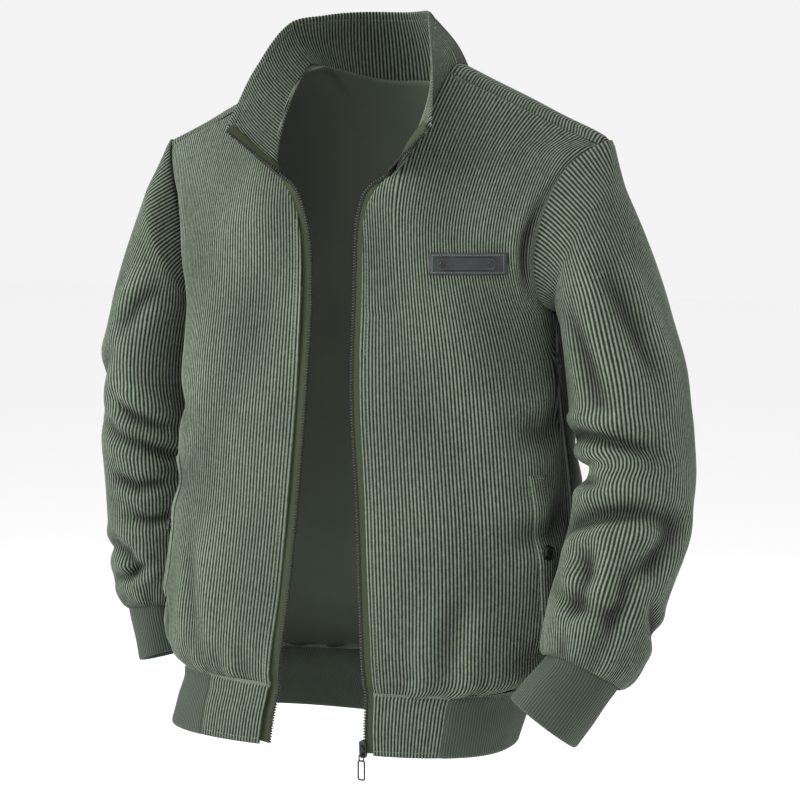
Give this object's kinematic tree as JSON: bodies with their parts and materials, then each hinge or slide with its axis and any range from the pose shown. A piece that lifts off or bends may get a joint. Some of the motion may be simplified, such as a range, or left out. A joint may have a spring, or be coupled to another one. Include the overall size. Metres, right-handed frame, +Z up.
{
  "type": "corduroy zip-up jacket, worn open",
  "caption": "Corduroy zip jacket worn open, with a fallen stand collar, rib cuffs and hem, slanted pockets and a bare chest patch.",
  "frame": {"origin": "middle of the neck at the height where the collar meets the shoulders, where the wearer holds the jacket up", "axes": "+Z up, the wearer faces -Y, the wearer's left arm is at +X"},
  "size_m": [0.6557, 0.2689, 0.7371],
  "materials": {
    "corduroy": "sage green corduroy with upright cut-pile ribs and a soft nap",
    "rib_knit": "fine plain rib knit in darker sage green",
    "zip_tape": "woven olive zip tape",
    "black_metal": "black enamelled metal, half gloss",
    "leather": "dark slate leather, fine grain"
  },
  "bodies": {
    "jacket": {"front_right": "corduroy", "front_left": "corduroy", "back": "corduroy", "collar": "corduroy", "hem_tab_right": "corduroy", "hem_tab_left": "corduroy", "hem_rib": "rib_knit", "sleeve_right": "corduroy", "sleeve_left": "corduroy", "cuff_right": "rib_knit", "cuff_left": "rib_knit", "zip_tape_right": "zip_tape", "zip_tape_left": "zip_tape", "zip_chain_right": "black_metal", "zip_chain_left": "black_metal", "pocket_welt_right": "corduroy", "pocket_welt_left": "corduroy", "snap_right": "black_metal", "snap_left": "black_metal", "label_patch": "leather", "label_plate": "leather", "rivet_inner": "black_metal", "rivet_outer": "black_metal", "zip_slider": "black_metal", "slider_bridge": "black_metal"},
    "pull": {"pull_tab": "black_metal"}
  },
  "joints": [
    {"name": "pull_swing", "type": "hinge", "parent": "jacket", "child": "pull", "pos_m": [0.0418, -0.14863, -0.65962], "axis": [-1, 0, 0], "range_deg": [0, 135]}
  ]
}
